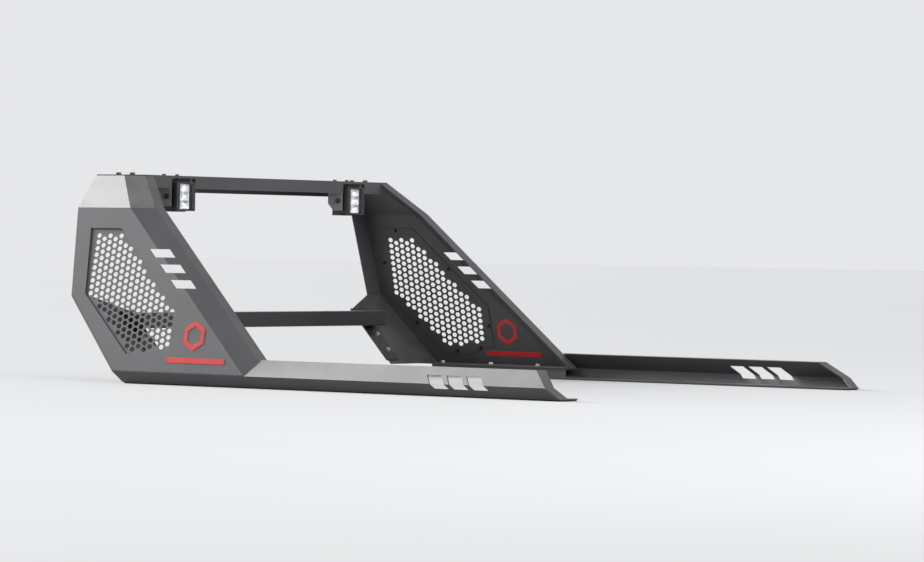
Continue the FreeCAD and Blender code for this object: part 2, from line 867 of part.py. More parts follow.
def lamp_housing():
    """The finned lamp body with its front cavity."""
    front = bezel_back + seal_thickness
    half_x = housing_half_width
    half_z = lamp_half_height - housing_inset
    body = centred_box(half_x, (front, housing_back), half_z)
    fins = []
    for number in range(fins_each_side):
        for side in (-1, 1):
            x = side * fin_pitch * (number + 1)
            fins.append(box((x - fin_thickness / 2, x + fin_thickness / 2),
                            (fin_root, fin_back), (fin_bottom, fin_top)))
    cavity_back = front + lens_thickness + reflector_depth + board_thickness
    cavity = centred_box(half_x - housing_wall, (front, cavity_back),
                         half_z - housing_wall / 2)
    holes = screw_cylinders(bezel_screw_hole_radius, front, front + bezel_screw_depth)
    for side in (-1, 1):
        holes.append(Part.makeCylinder(m8_radius, pivot_depth, Vector(side * half_x, 0, 0),
                                       Vector(-side, 0, 0)))
    return joined([body] + fins).cut(Part.makeCompound([cavity] + holes))


def lamp_bezel():
    """The square front frame."""
    frame = centred_box(lamp_half_width, (bezel_front, bezel_back), lamp_half_height)
    corners = [edge for edge in frame.Edges
               if abs(edge.Vertexes[0].Y - edge.Vertexes[1].Y) > 1]
    frame = frame.makeFillet(bezel_corner_radius, corners)
    window = centred_box(bezel_window_half_width, (bezel_front - overcut, bezel_back + overcut),
                         bezel_window_half_height)
    holes = screw_cylinders(bezel_screw_hole_radius, bezel_front, bezel_back)
    return frame.cut(Part.makeCompound([window] + holes))


def lamp_seal():
    """The flat seal between bezel and housing."""
    half_x = housing_half_width
    half_z = lamp_half_height - housing_inset
    ring = centred_box(half_x, (bezel_back, bezel_back + seal_thickness), half_z)
    window = centred_box(bezel_window_half_width, (bezel_back - overcut,
                         bezel_back + seal_thickness + overcut), bezel_window_half_height)
    holes = screw_cylinders(bezel_screw_hole_radius, bezel_back, bezel_back + seal_thickness)
    return ring.cut(Part.makeCompound([window] + holes))


def lamp_insides_half():
    """Half width and half height of what lies in the housing's cavity."""
    half_x = housing_half_width - housing_wall - insides_clearance
    half_z = lamp_half_height - housing_inset - housing_wall / 2 - insides_clearance
    return half_x, half_z


def lamp_lens():
    """The clear front plate."""
    half_x, half_z = lamp_insides_half()
    front = bezel_back + seal_thickness
    return centred_box(half_x, (front, front + lens_thickness), half_z)


def cup_places():
    """(x, z) places of the six reflector cups."""
    return [(x, z) for x in (-cup_pitch_x / 2, cup_pitch_x / 2)
            for z in (-cup_pitch_z, 0.0, cup_pitch_z)]


def lamp_reflector():
    """The reflector block with its conical cups."""
    half_x, half_z = lamp_insides_half()
    front = bezel_back + seal_thickness + lens_thickness
    block = centred_box(half_x, (front, front + reflector_depth), half_z)
    cups = [Part.makeCone(cup_radius, cup_throat_radius, reflector_depth, Vector(x, front, z),
                          Vector(0, 1, 0)) for x, z in cup_places()]
    return block.cut(Part.makeCompound(cups))


def lamp_board():
    """The circuit board with one emitter behind each cup."""
    half_x, half_z = lamp_insides_half()
    front = bezel_back + seal_thickness + lens_thickness + reflector_depth
    plates = [centred_box(half_x, (front, front + board_thickness), half_z)]
    half = chip_size / 2
    for x, z in cup_places():
        plates.append(box((x - half, x + half), (front - chip_height, front),
                          (z - half, z + half)))
    return joined(plates)


def bezel_screws():
    """Four screws, their heads sunk a little below the bezel's front."""
    end = bezel_back + seal_thickness + bezel_screw_depth - bezel_screw_end_gap
    return Part.makeCompound(screw_cylinders(bezel_screw_radius, bezel_front + bezel_screw_sink,
                                             end))


def pivot_bolts():
    """The two side bolts on which the lamp tilts."""
    half_x = housing_half_width
    seat = housing_half_width + cheek_gap + cheek_thickness + pivot_head_gap
    bolts = []
    for side in (-1, 1):
        shank = Part.makeCylinder(m8_radius, seat - half_x + pivot_depth,
                                  Vector(side * (half_x - pivot_depth), 0, 0),
                                  Vector(side, 0, 0))
        head = turned(hexagon_prism(m8_flats, m8_head), Vector(side, 0, 0),
                      Vector(side * seat, 0, 0))
        bolts.append(joined([shank, head]))
    return Part.makeCompound(bolts)


def lamp_gland():
    """The cable inlet on the back of the housing, with its blind bore."""
    hexagon = hexagon_prism(gland_radius * math.sqrt(3), gland_length / 2)
    hexagon = turned(hexagon, Vector(0, 1, 0), Vector(0, housing_back, -gland_drop))
    nose = Part.makeCone(gland_radius, gland_radius * gland_nose_share, gland_length / 2,
                         Vector(0, housing_back + gland_length / 2, -gland_drop),
                         Vector(0, 1, 0))
    bore = Part.makeCylinder(gland_bore_radius, gland_bore_depth,
                             Vector(0, housing_back + gland_length - gland_bore_depth,
                                    -gland_drop), Vector(0, 1, 0))
    return joined([hexagon, nose]).cut(bore)


def lamp_bracket():
    """The steel yoke under the crossbar: a top plate and two cheeks with pivot holes."""
    inner = housing_half_width + cheek_gap
    outer = inner + cheek_thickness
    top = lamp_axis_drop - sheet
    outline = [(cheek_front, top), (cheek_back, top), (cheek_back, cheek_bottom + cheek_chamfer),
               (cheek_back - cheek_chamfer, cheek_bottom), (cheek_front, cheek_bottom)]
    plates = [
        box((-outer, outer), (cheek_front, cheek_back), (top - sheet, top)),
        prism_yz(outline, inner, outer),
        prism_yz(outline, -outer, -inner),
    ]
    holes = [Part.makeCylinder(m8_radius + pivot_running_clearance, 4 * outer,
                               Vector(-2 * outer, 0, 0), Vector(1, 0, 0))]
    for side in (-bracket_bolt_offset, bracket_bolt_offset):
        holes.append(Part.makeCylinder(m6_hole_radius, 3 * sheet,
                                       Vector(side, bracket_bolt_back, top - 2 * sheet)))
    return joined(plates).cut(Part.makeCompound(holes))


def lamp_bracket_bolts():
    """Bolts through the crossbar's top and the lamp brackets."""
    return Part.makeCompound([m6_bolt(2 * sheet).translated(place)
                              for place in bracket_bolt_places()])


# ---- emblems ----------------------------------------------------------------------------------

def emblem(outside):
    """A plain open hexagon over a plain bar, on the panel's outer or inner face."""
    near, far = (-emblem_thickness, 0.0) if outside else (sheet, sheet + emblem_thickness)
    y = front_y - emblem_setback
    z = fold_z + emblem_rise
    rings = []
    for radius in (emblem_radius, emblem_radius - emblem_stroke):
        rings.append([(y + radius * math.sin(math.radians(60 * step)),
                       z + radius * math.cos(math.radians(60 * step))) for step in range(6)])
    badge = face_plate(rings[0], near, far).cut(face_plate(rings[1], near - overcut, far + overcut))
    middle = front_y - plaque_setback
    half = plaque_length / 2
    low = fold_z + plaque_rise
    high = low + plaque_height
    bar = face_plate([(middle - half, low), (middle + half, low), (middle + half, high),
                      (middle - half, high)], near, far)
    return Part.makeCompound([badge, bar])


# ---- output -----------------------------------------------------------------------------------

PAIRED = {
    "side_panel": side_panel,
    "mesh_insert": mesh_insert,
    "mesh_fasteners": mesh_fasteners,
    "bed_rail": bed_rail,
    "support_channel": support_channel,
    "channel_rivets": channel_rivets,
    "rail_gasket": gasket,
    "panel_bolts": panel_bolts,
    "crossbar_leg": crossbar_leg,
    "leg_bolts": leg_bolts,
    "outer_emblem": lambda: emblem(True),
    "inner_emblem": lambda: emblem(False),
}

SINGLE = {
    "top_crossbar": top_crossbar,
    "crossbar_bolts": crossbar_bolts,
    "lower_crossbar": lower_crossbar,
    "lamp_bracket_bolts": lamp_bracket_bolts,
}

LAMP = {
    "lamp_bracket": lamp_bracket,
    "lamp_housing": lamp_housing,
    "lamp_bezel": lamp_bezel,
    "lamp_seal": lamp_seal,
    "lamp_lens": lamp_lens,
    "lamp_reflector": lamp_reflector,
    "lamp_led_board": lamp_board,
    "lamp_bezel_screws": bezel_screws,
    "lamp_pivot_bolts": pivot_bolts,
    "lamp_cable_gland": lamp_gland,
}


def write(name, shape):
    """Save one node."""
    shape.exportStep(f"parts/{name}.step")


def main():
    """Build every node."""
    os.makedirs("parts", exist_ok=True)
    for name, make in PAIRED.items():
        right = make()
        write(f"right_{name}", right)
        write(f"left_{name}", mirrored(right))
    for name, make in SINGLE.items():
        write(name, make())
    left, right = lamp_centres()
    for name, make in LAMP.items():
        piece = make()
        write(f"left_{name}", piece.translated(left))
        write(f"right_{name}", piece.translated(right))


main()
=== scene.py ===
import logging
import math
from dataclasses import dataclass
from enum import Enum

import bmesh
import bpy
from mathutils import Matrix, Vector


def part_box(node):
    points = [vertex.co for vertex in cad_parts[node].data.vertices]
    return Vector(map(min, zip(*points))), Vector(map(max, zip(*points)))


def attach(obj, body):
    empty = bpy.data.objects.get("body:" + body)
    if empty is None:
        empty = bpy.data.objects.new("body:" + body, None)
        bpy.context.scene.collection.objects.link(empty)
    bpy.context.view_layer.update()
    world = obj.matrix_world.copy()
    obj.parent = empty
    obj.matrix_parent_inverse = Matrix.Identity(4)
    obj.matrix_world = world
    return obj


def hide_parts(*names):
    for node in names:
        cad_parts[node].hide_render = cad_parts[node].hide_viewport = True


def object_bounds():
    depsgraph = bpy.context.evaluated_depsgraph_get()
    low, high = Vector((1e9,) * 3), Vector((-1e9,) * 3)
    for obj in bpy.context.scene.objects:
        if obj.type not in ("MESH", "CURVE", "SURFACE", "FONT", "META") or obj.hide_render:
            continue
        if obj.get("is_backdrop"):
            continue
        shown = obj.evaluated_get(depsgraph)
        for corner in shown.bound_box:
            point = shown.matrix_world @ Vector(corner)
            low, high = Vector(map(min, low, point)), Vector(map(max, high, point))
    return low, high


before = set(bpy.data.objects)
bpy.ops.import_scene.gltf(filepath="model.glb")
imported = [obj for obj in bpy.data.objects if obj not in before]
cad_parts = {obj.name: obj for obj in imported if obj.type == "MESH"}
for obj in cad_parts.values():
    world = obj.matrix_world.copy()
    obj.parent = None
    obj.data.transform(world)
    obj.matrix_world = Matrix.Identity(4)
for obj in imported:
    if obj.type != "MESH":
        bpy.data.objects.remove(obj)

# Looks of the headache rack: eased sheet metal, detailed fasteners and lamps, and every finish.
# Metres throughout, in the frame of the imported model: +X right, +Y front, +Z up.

LOG = logging.getLogger("headache_rack")
SIDES = ("left", "right")
MM = 0.001
FLAT_ANGLE = math.radians(0.6)
EDGE_ANGLE = math.radians(24)
FOLD_ANGLE = math.radians(14)
SMOOTH_ANGLE = math.radians(32)
MERGE_DISTANCE = 1e-5
FACING_LIMIT = 0.99
QUARTER_TURN = math.radians(90)
CAMERA_PLACE = (-8.877, -6.594, 0.386)

Colour = tuple[float, float, float]
Triple = tuple[float, float, float]


# ---- shader maths ------------------------------------------------------------------------------

class Shade:
    """A node's output socket that takes part in arithmetic."""

    def __init__(self, recipe: "Recipe", socket: bpy.types.NodeSocket) -> None:
        """Keep the socket and the recipe that it belongs to."""
        self.recipe = recipe
        self.socket = socket

    def _math(self, operation: str, first: object, second: object) -> "Shade":
        """Add a Math node on two values or sockets."""
        return self.recipe.node("ShaderNodeMath", {"operation": operation}, {0: first, 1: second})

    def __add__(self, other: object) -> "Shade":
        """Sum."""
        return self._math("ADD", self, other)

    def __radd__(self, other: object) -> "Shade":
        """Reflected sum."""
        return self._math("ADD", other, self)

    def __sub__(self, other: object) -> "Shade":
        """Difference."""
        return self._math("SUBTRACT", self, other)

    def __rsub__(self, other: object) -> "Shade":
        """Reflected difference."""
        return self._math("SUBTRACT", other, self)

    def __mul__(self, other: object) -> "Shade":
        """Product."""
        return self._math("MULTIPLY", self, other)

    def __rmul__(self, other: object) -> "Shade":
        """Reflected product."""
        return self._math("MULTIPLY", other, self)

    def between(self, low: float, high: float) -> "Shade":
        """A smooth step from 0 at low to 1 at high."""
        return self.recipe.node("ShaderNodeMapRange", {"interpolation_type": "SMOOTHSTEP"},
                                {"Value": self, "From Min": low, "From Max": high})


class Recipe:
    """A material under construction."""

    def __init__(self, name: str) -> None:
        """Start an empty material.

        Args:
            name: The material's name.
        """
        self.material = bpy.data.materials.new(name)
        self.material.use_nodes = True
        self.tree = self.material.node_tree
        self.tree.nodes.clear()

    def node(self, kind: str, settings: dict | None = None, inputs: dict | None = None,
             output: int | str = 0) -> Shade:
        """Add a node.

        Args:
            kind: The node's type name.
            settings: Its settings, made before its sockets are filled.
            inputs: Values or shades by socket name or number.
            output: Which output to hand back.

        Returns:
            The chosen output as a shade.
        """
        made = self.tree.nodes.new(kind)
        for key, value in (settings or {}).items():
            setattr(made, key, value)
        for key, value in (inputs or {}).items():
            if isinstance(value, Shade):
                self.tree.links.new(value.socket, made.inputs[key])
            else:
                made.inputs[key].default_value = value
        return Shade(self, made.outputs[output])

    def place(self, stretch: Triple = (1.0, 1.0, 1.0)) -> Shade:
        """Object coordinates, stretched along the axes."""
        raw = self.node("ShaderNodeTexCoord", output="Object")
        return self.node("ShaderNodeMapping", {}, {"Vector": raw, "Scale": stretch})

    def noise(self, scale: float, detail: float = 3.0, stretch: Triple = (1.0, 1.0, 1.0)) -> Shade:
        """Fractal noise from 0 to 1, at a number of cells to the metre."""
        return self.node("ShaderNodeTexNoise", {}, {"Vector": self.place(stretch), "Scale": scale,
                                                    "Detail": detail})

    def upward(self) -> Shade:
        """How far a surface faces up: 1 on a level top."""
        normal = self.node("ShaderNodeNewGeometry", output="Normal")
        return self.node("ShaderNodeSeparateXYZ", {}, {0: normal}, "Z")

    def blend(self, share: Shade | float, first: object, second: object) -> Shade:
        """Mix two colours.

        Args:
            share: How much of the second colour shows, from 0 to 1.
            first: The first colour or shade.
            second: The second colour or shade.

        Returns:
            The mixed colour.
        """
        pair = [value if isinstance(value, Shade) else (*value, 1.0) for value in (first, second)]
        return self.node("ShaderNodeMix", {"data_type": "RGBA"},
                         {0: share, 6: pair[0], 7: pair[1]}, 2)

    def bump(self, height: Shade, depth: float) -> Shade:
        """A normal that shows a height pattern of a real depth."""
        return self.node("ShaderNodeBump", {}, {"Height": height, "Distance": depth,
                                                "Strength": 1.0})

    def surface(self, inputs: dict) -> bpy.types.Material:
        """Close the material with a Principled shader.

        Args:
            inputs: Values or shades by the shader's socket name.

        Returns:
            The finished material.
        """
        shader = self.node("ShaderNodeBsdfPrincipled", {}, inputs)
        end = self.tree.nodes.new("ShaderNodeOutputMaterial")
        self.tree.links.new(shader.socket, end.inputs["Surface"])
        return self.material


# ---- finishes ----------------------------------------------------------------------------------

def scaled(colour: Colour, factor: float) -> Colour:
    """A colour made lighter or darker."""
    return tuple(min(1.0, channel * factor) for channel in colour)


@dataclass(frozen=True)
class PowderCoat:
    """Baked powder coat: pebbled grain, faint mottling, wipe marks and dust on level faces."""

    name: str
    colour: Colour
    roughness: float = 0.46
    grain_scale: float = 850.0
    grain_depth: float = 0.00012
    mottle_scale: float = 7.0
    mottle_spread: float = 0.08
    wipe_scale: float = 9.0
    wipe_stretch: Triple = (1.0, 0.25, 2.5)
    wipe_share: float = 0.16
    speck_share: float = 0.35
    speck_lift: float = 1.6
    dust: float = 0.10
    dust_scale: float = 16.0
    dust_roughness: float = 0.12
    dust_colour: Colour = (0.42, 0.40, 0.37)

    def build(self) -> bpy.types.Material:
        """Make the material.

        Returns:
            The finished material.
        """
        r = Recipe(self.name)
        grain = r.noise(self.grain_scale, 2.0)
        mottle = r.noise(self.mottle_scale, 4.0)
        wipes = r.noise(self.wipe_scale, 5.0, self.wipe_stretch)
        patches = r.noise(self.dust_scale, 6.0).between(0.35, 0.75)
        settled = r.upward().between(0.35, 1.0) * patches
        body = r.blend(mottle.between(0.3, 0.7), scaled(self.colour, 1 - self.mottle_spread),
                       scaled(self.colour, 1 + self.mottle_spread))
        body = r.blend(grain.between(0.55, 0.75) * self.speck_share, body,
                       scaled(self.colour, self.speck_lift))
        body = r.blend(settled * self.dust, body, self.dust_colour)
        rough = self.roughness + (wipes - 0.5) * self.wipe_share + settled * self.dust_roughness
        return r.surface({"Base Color": body, "Roughness": rough,
                          "Normal": r.bump(grain, self.grain_depth), "Specular IOR Level": 0.5})


@dataclass(frozen=True)
class PlatedSteel:
    """Plated or oxide-blackened fastener steel with turning marks and rubbed spots."""

    name: str
    colour: Colour
    roughness: float
    tint: Colour
    cloud_scale: float = 140.0
    mark_scale: float = 420.0
    mark_stretch: Triple = (1.0, 1.0, 9.0)
    mark_share: float = 0.25
    mark_depth: float = 0.00003

    def build(self) -> bpy.types.Material:
        """Make the material.

        Returns:
            The finished material.
        """
        r = Recipe(self.name)
        cloud = r.noise(self.cloud_scale, 5.0)
        marks = r.noise(self.mark_scale, 3.0, self.mark_stretch)
        body = r.blend(cloud.between(0.35, 0.7), self.colour, self.tint)
        return r.surface({"Base Color": body, "Metallic": 1.0,
                          "Roughness": self.roughness + (marks - 0.5) * self.mark_share,
                          "Normal": r.bump(marks, self.mark_depth)})


@dataclass(frozen=True)
class CastAlloy:
    """Die-cast alloy under black anodising, with a sand-fine skin and paler rubbed patches."""

    name: str
    colour: Colour
    roughness: float = 0.42
    metallic: float = 0.75
    skin_scale: float = 1500.0
    skin_depth: float = 0.00006
    patch_scale: float = 55.0
    patch_share: float = 0.5
    patch_lift: float = 1.7

    def build(self) -> bpy.types.Material:
        """Make the material.

        Returns:
            The finished material.
        """
        r = Recipe(self.name)
        skin = r.noise(self.skin_scale, 3.0)
        patches = r.noise(self.patch_scale, 5.0)
        body = r.blend(patches.between(0.55, 0.8) * self.patch_share, self.colour,
                       scaled(self.colour, self.patch_lift))
        return r.surface({"Base Color": body, "Metallic": self.metallic,
                          "Roughness": self.roughness + (patches - 0.5) * 0.2,
                          "Normal": r.bump(skin, self.skin_depth)})


@dataclass(frozen=True)
class Moulded:
    """Moulded plastic or rubber with a fine stipple."""

    name: str
    colour: Colour
    roughness: float
    stipple_scale: float = 1300.0
    stipple_depth: float = 0.00008
    haze_scale: float = 24.0
    haze_lift: float = 1.5

    def build(self) -> bpy.types.Material:
        """Make the material.

        Returns:
            The finished material.
        """
        r = Recipe(self.name)
        stipple = r.noise(self.stipple_scale, 2.0)
        haze = r.noise(self.haze_scale, 5.0)
        body = r.blend(haze.between(0.3, 0.75), self.colour, scaled(self.colour, self.haze_lift))
        return r.surface({"Base Color": body, "Roughness": self.roughness + (haze - 0.5) * 0.18,
                          "Normal": r.bump(stipple, self.stipple_depth)})


@dataclass(frozen=True)
class ClearLens:
    """Clear polycarbonate with a breath of haze."""

    name: str
    roughness: float = 0.02
    refraction: float = 1.2
    haze_scale: float = 90.0
    haze_share: float = 0.06

    def build(self) -> bpy.types.Material:
        """Make the material.

        Returns:
            The finished material.
        """
        r = Recipe(self.name)
        haze = r.noise(self.haze_scale, 4.0).between(0.5, 0.9)
        return r.surface({"Base Color": (0.97, 0.98, 1.0, 1.0), "Transmission Weight": 1.0,
                          "IOR": self.refraction,
                          "Roughness": self.roughness + haze * self.haze_share})


@dataclass(frozen=True)
class MetallisedCup:
    """Vacuum-metallised reflector with slight orange peel."""

    name: str
    roughness: float = 0.46
    peel_scale: float = 260.0
    peel_depth: float = 0.00004

    def build(self) -> bpy.types.Material:
        """Make the material.

        Returns:
            The finished material.
        """
        r = Recipe(self.name)
        peel = r.noise(self.peel_scale, 3.0)
        return r.surface({"Base Color": r.blend(peel, (0.90, 0.91, 0.93), (0.97, 0.97, 0.98)),
                          "Metallic": 1.0, "Roughness": self.roughness + (peel - 0.5) * 0.1,
                          "Normal": r.bump(peel, self.peel_depth)})


@dataclass(frozen=True)
class Phosphor:
    """A lamp's emitters: pale phosphor that carries a low light of its own."""

    name: str
    glow: float = 2.2
    roughness: float = 0.35
    speckle_scale: float = 900.0

    def build(self) -> bpy.types.Material:
        """Make the material.

        Returns:
            The finished material.
        """
        r = Recipe(self.name)
        speckle = r.noise(self.speckle_scale, 3.0)
        body = r.blend(speckle, (0.96, 0.94, 0.82), (1.0, 0.99, 0.94))
        return r.surface({"Base Color": body, "Roughness": self.roughness + speckle * 0.2,
                          "Emission Color": body, "Emission Strength": self.glow})


@dataclass(frozen=True)
class Enamel:
    """Screen-printed enamel with a little orange peel."""

    name: str
    colour: Colour
    roughness: float = 0.38
    coat: float = 0.1
    peel_scale: float = 420.0
    peel_depth: float = 0.00005
    shade_scale: float = 30.0
    shade_drop: float = 0.85

    def build(self) -> bpy.types.Material:
        """Make the material.

        Returns:
            The finished material.
        """
        r = Recipe(self.name)
        peel = r.noise(self.peel_scale, 3.0)
        shade = r.noise(self.shade_scale, 4.0)
        body = r.blend(shade, scaled(self.colour, self.shade_drop), self.colour)
        return r.surface({"Base Color": body, "Coat Weight": self.coat,
                          "Roughness": self.roughness + (shade - 0.5) * 0.15,
                          "Normal": r.bump(peel, self.peel_depth)})


class Finish(Enum):
    """Every finish on the rack, by the record's material slot."""

    POWDER = "powder_coated_steel"
    MESH = "perforated_steel"
    # painted highlight: the lamp brackets wear a lighter copy of the graphite powder coat
    SATIN_BLACK = "satin_black_steel"
    BRACKET = "bracket_steel"
    GASKET = "gasket_rubber"
    ZINC = "zinc_fasteners"
    BLACK_OXIDE = "black_fasteners"
    ALLOY = "black_aluminium"
    PLASTIC = "black_plastic"
    LENS = "clear_lens"
    MIRROR = "mirror_reflector"
    EMITTER = "led_board"
    ENAMEL = "red_enamel"


class Paintbox:
    """Builds each finish once and puts it on pieces."""

    def __init__(self) -> None:
        """Mix every finish."""
        recipes = {
            Finish.POWDER: PowderCoat("graphite_powder_coat", (0.050, 0.051, 0.054)),
            Finish.MESH: PowderCoat("mesh_powder_coat", (0.046, 0.047, 0.050), 0.5),
            Finish.SATIN_BLACK: PowderCoat("satin_black_coat", (0.020, 0.020, 0.022), 0.42),
            # The rack's graphite powder coat made four times lighter: a painted highlight for light
            # falling on the brackets' side plates
            Finish.BRACKET: PowderCoat("bracket_painted_highlight_coat", (0.20, 0.20, 0.205), 0.4),
            Finish.GASKET: Moulded("gasket_rubber_skin", (0.012, 0.012, 0.012), 0.78, 600.0),
            Finish.ZINC: PlatedSteel("bright_zinc", (0.56, 0.57, 0.58), 0.32, (0.62, 0.60, 0.53)),
            Finish.BLACK_OXIDE: PlatedSteel("black_oxide", (0.05, 0.05, 0.052), 0.36,
                                            (0.10, 0.095, 0.09)),
            Finish.ALLOY: CastAlloy("black_die_casting", (0.045, 0.046, 0.05)),
            Finish.PLASTIC: Moulded("black_nylon", (0.018, 0.018, 0.019), 0.5),
            Finish.LENS: ClearLens("clear_polycarbonate"),
            Finish.MIRROR: MetallisedCup("metallised_cup"),
            Finish.EMITTER: Phosphor("emitter_phosphor"),
            Finish.ENAMEL: Enamel("red_screen_enamel", (0.52, 0.006, 0.005)),
        }
        self.materials = {finish: recipe.build() for finish, recipe in recipes.items()}

    def coat(self, piece: bpy.types.Object, finish: Finish) -> None:
        """Give a piece one finish all over.

        Args:
            piece: The object.
            finish: Its finish.
        """
        piece.data.materials.clear()
        piece.data.materials.append(self.materials[finish])
        for polygon in piece.data.polygons:
            polygon.material_index = 0

    def coat_node(self, node: str, finish: Finish) -> None:
        """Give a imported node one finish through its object's own slots.

        Args:
            node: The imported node.
            finish: Its finish.
        """
        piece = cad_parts[node]
        if not piece.material_slots:
            piece.data.materials.append(None)
        for slot in piece.material_slots:
            slot.material = self.materials[finish]


# ---- modelling by operator ---------------------------------------------------------------------

def activate(piece: bpy.types.Object) -> None:
    """Select one object only and make it active.

    Args:
        piece: The object.
    """
    bpy.ops.object.select_all(action="DESELECT")
    piece.select_set(True)
    bpy.context.view_layer.objects.active = piece


def apply_modifier(piece: bpy.types.Object, kind: str, **settings: object) -> None:
    """Add a modifier and apply it.

    Args:
        piece: The object.
        kind: The modifier's type.
        settings: Its settings.
    """
    modifier = piece.modifiers.new(kind.lower(), kind)
    for key, value in settings.items():
        setattr(modifier, key, value)
    activate(piece)
    bpy.ops.object.modifier_apply(modifier=modifier.name)


def ease_edges(piece: bpy.types.Object, width: float, segments: int,
               sharpest: float = EDGE_ANGLE) -> None:
    """Round every edge that turns by more than an angle, and keep the wide faces flat.

    Args:
        piece: The object.
        width: The bevel's width.
        segments: The bevel's steps.
        sharpest: The smallest turn that gets a bevel.
    """
    apply_modifier(piece, "BEVEL", width=width, segments=segments, limit_method="ANGLE",
                   angle_limit=sharpest, use_clamp_overlap=True)
    activate(piece)
    bpy.ops.object.shade_smooth_by_angle(angle=SMOOTH_ANGLE)
    apply_modifier(piece, "WEIGHTED_NORMAL", mode="FACE_AREA", weight=100, keep_sharp=True)


def merged_copy(node: str, name: str) -> bpy.types.Object:
    """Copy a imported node's mesh, with its loose triangles merged into flat faces.

    Args:
        node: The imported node.
        name: The new piece's name.

    Returns:
        The new piece, in place.
    """
    piece = bpy.data.objects.new(name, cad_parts[node].data.copy())
    bpy.context.scene.collection.objects.link(piece)
    activate(piece)
    bpy.ops.mesh.customdata_custom_splitnormals_clear()
    bpy.ops.object.mode_set(mode="EDIT")
    bpy.ops.mesh.select_all(action="SELECT")
    bpy.ops.mesh.remove_doubles(threshold=MERGE_DISTANCE)
    bpy.ops.mesh.dissolve_limited(angle_limit=FLAT_ANGLE)
    bpy.ops.object.mode_set(mode="OBJECT")
    return piece


def select_faces(piece: bpy.types.Object, direction: Vector) -> None:
    """In edit mode, select only the faces that look one way.

    Args:
        piece: The object in edit mode.
        direction: The way that the faces look.
    """
    bpy.ops.mesh.select_mode(type="FACE")
    bpy.ops.mesh.select_all(action="DESELECT")
    mesh = bmesh.from_edit_mesh(piece.data)
    for face in mesh.faces:
        face.select_set(face.normal.dot(direction) > FACING_LIMIT)
    bmesh.update_edit_mesh(piece.data)


def settle(piece: bpy.types.Object) -> None:
    """Move an object's place into its mesh."""
    piece.data.transform(piece.matrix_basis)
    piece.matrix_basis = Matrix.Identity(4)


def joined(pieces: list[bpy.types.Object], name: str) -> bpy.types.Object:
    """Join objects into one, named.

    Args:
        pieces: The objects; the first takes in the rest.
        name: The joined object's name.

    Returns:
        The joined object.
    """
    bpy.ops.object.select_all(action="DESELECT")
    for piece in pieces:
        piece.select_set(True)
    bpy.context.view_layer.objects.active = pieces[0]
    bpy.ops.object.join()
    pieces[0].name = name
    return pieces[0]


def islands(node: str) -> list[list[Vector]]:
    """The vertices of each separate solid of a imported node.

    Args:
        node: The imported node.

    Returns:
        One list of places for each solid.
    """
    mesh = bmesh.new()
    mesh.from_mesh(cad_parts[node].data)
    bmesh.ops.remove_doubles(mesh, verts=mesh.verts, dist=MERGE_DISTANCE)
    waiting = set(mesh.verts)
    found = []
    while waiting:
        stack = [waiting.pop()]
        group = []
        while stack:
            vertex = stack.pop()
            group.append(vertex.co.copy())
            for edge in vertex.link_edges:
                other = edge.other_vert(vertex)
                if other in waiting:
                    waiting.remove(other)
                    stack.append(other)
        found.append(group)
    mesh.free()
    return found


def broadest_normal(node: str) -> Vector:
    """The upward-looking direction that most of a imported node's surface faces.

    Args:
        node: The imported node.

    Returns:
        The direction, of length 1.
    """
    areas: dict[tuple, float] = {}
    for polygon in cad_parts[node].data.polygons:
        key = tuple(round(part, 2) for part in polygon.normal)
        areas[key] = areas.get(key, 0.0) + polygon.area
    upward = {key: area for key, area in areas.items() if key[2] > 0.1}
    return Vector(max(upward, key=upward.get)).normalized()


# ---- sheet metal and castings ------------------------------------------------------------------

@dataclass
class EasedPart:
    """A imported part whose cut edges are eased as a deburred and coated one's are."""

    node: str
    finish: Finish
    body: str
    edge: float = 0.6 * MM
    segments: int = 2
    sharpest: float = EDGE_ANGLE

    def build(self, paints: Paintbox) -> bpy.types.Object:
        """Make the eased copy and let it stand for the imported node.

        Args:
            paints: The finishes.

        Returns:
            The new piece.
        """
        piece = merged_copy(self.node, f"{self.node}_eased")
        ease_edges(piece, self.edge, self.segments, self.sharpest)
        paints.coat(piece, self.finish)
        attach(piece, self.body)
        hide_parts(self.node)
        return piece


# ---- fasteners ---------------------------------------------------------------------------------

